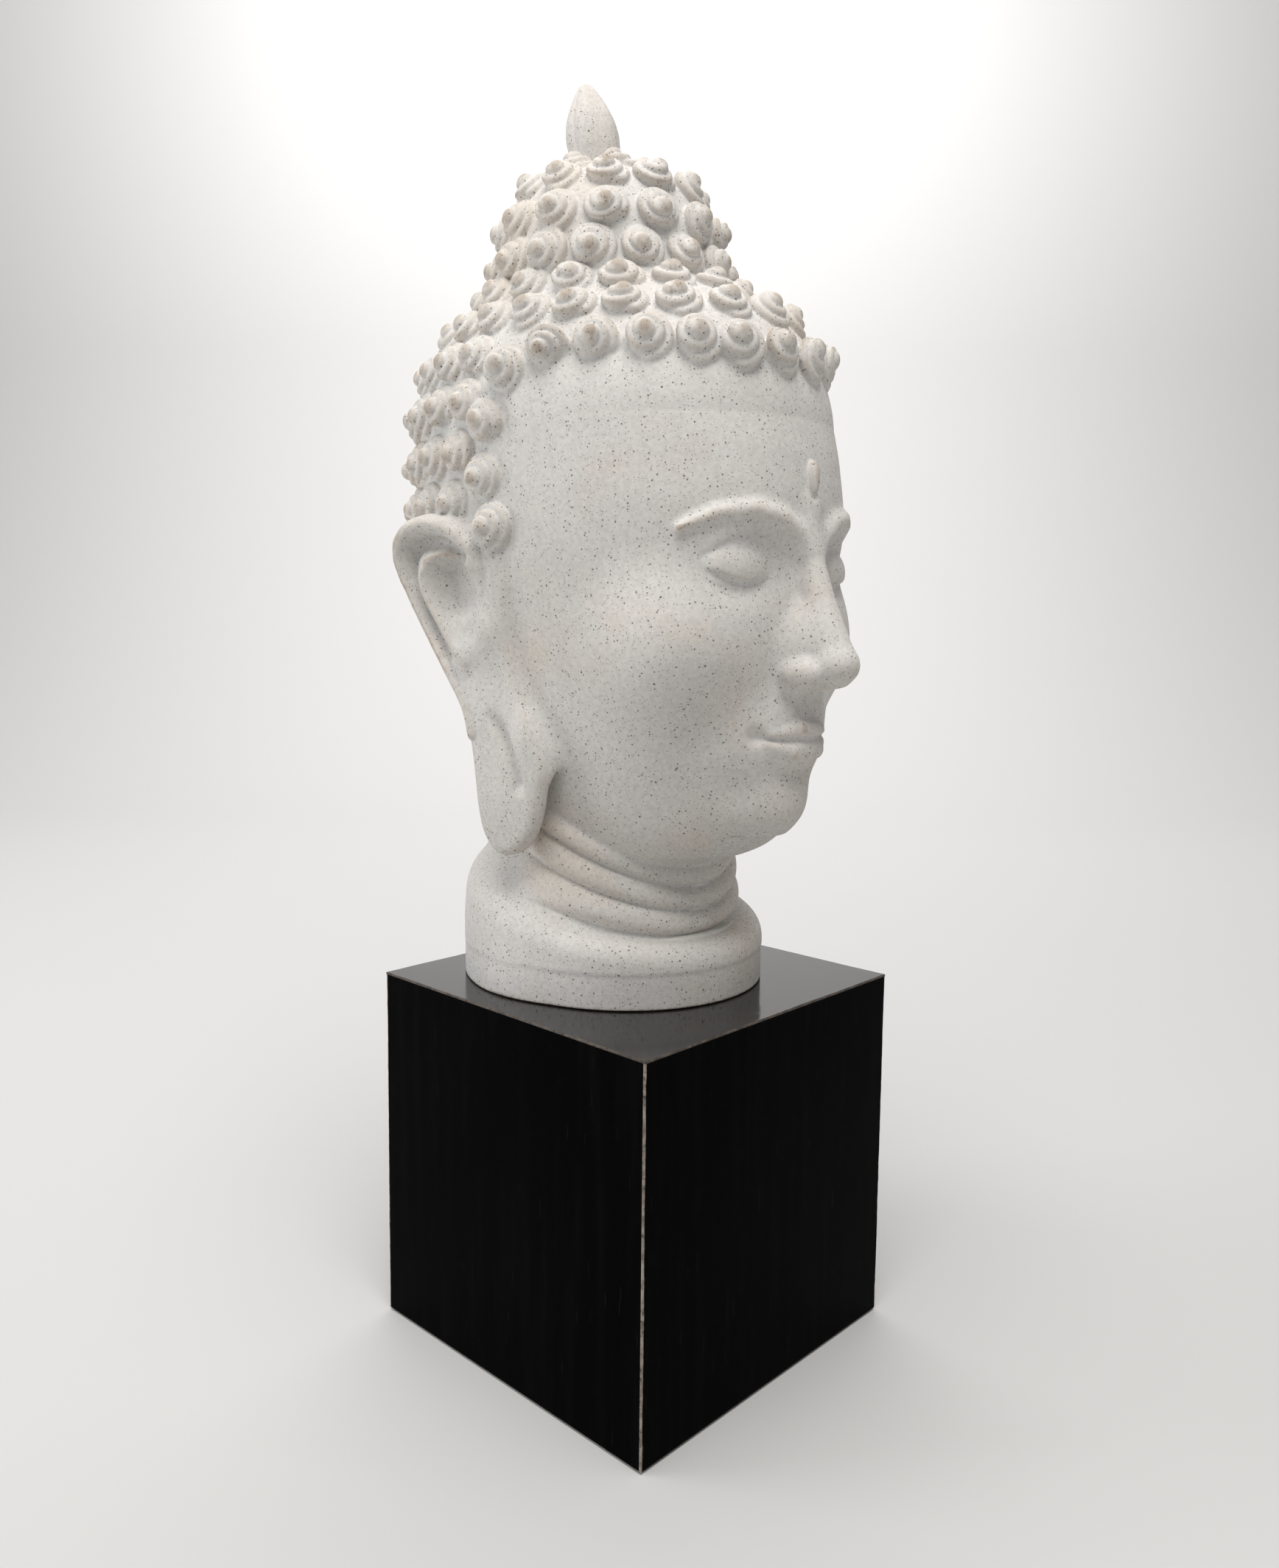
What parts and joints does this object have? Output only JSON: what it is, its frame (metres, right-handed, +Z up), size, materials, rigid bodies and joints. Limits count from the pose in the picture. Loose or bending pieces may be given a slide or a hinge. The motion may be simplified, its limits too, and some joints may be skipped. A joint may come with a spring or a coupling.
{
  "type": "head sculpture on a plinth",
  "caption": "Cast stone head of a teacher with curled hair, a topknot and a bud finial, on a square black plinth; the head turns on a rod.",
  "frame": {"origin": "middle of the felt underside that the plinth stands on", "axes": "+Z up, along the object's height; the head looks along -Y; X is across, and the object is mirror-symmetric about the plane X = 0"},
  "size_m": [0.2394, 0.2954, 0.6983],
  "materials": {
    "cast_stone": "matt, fine dark specks, warm wear on the raised parts",
    "plaster": "matt, rough cast",
    "laminate": "semi-gloss black, paler worn bevels",
    "fibreboard": "raw fibreboard",
    "softwood": "raw sawn",
    "zinc_steel": "zinc plated",
    "rubber_pad": "matt",
    "felt": "short-fibre black felt"
  },
  "bodies": {
    "plinth": {"front_board": "fibreboard", "right_board": "fibreboard", "back_board": "fibreboard", "left_board": "fibreboard", "front_laminate": "laminate", "right_laminate": "laminate", "back_laminate": "laminate", "left_laminate": "laminate", "top_board": "fibreboard", "top_laminate": "laminate", "bottom_board": "fibreboard", "corner_blocks": "softwood", "bottom_screws": "zinc_steel", "felt_base": "felt"},
    "head": {"head_casting": "cast_stone", "finial": "cast_stone", "finial_dowel": "zinc_steel", "neck_plug": "plaster", "neck_pad": "rubber_pad", "mounting_rod": "zinc_steel", "anchor_washer": "zinc_steel", "anchor_nut": "zinc_steel", "clamp_washer": "zinc_steel", "spring_washer": "zinc_steel", "clamp_nut": "zinc_steel"}
  },
  "joints": [
    {"name": "head_swivel", "type": "hinge", "parent": "plinth", "child": "head", "pos_m": [0, 0.014, 0.2036], "axis": [0, 0, 1], "continuous": true}
  ]
}
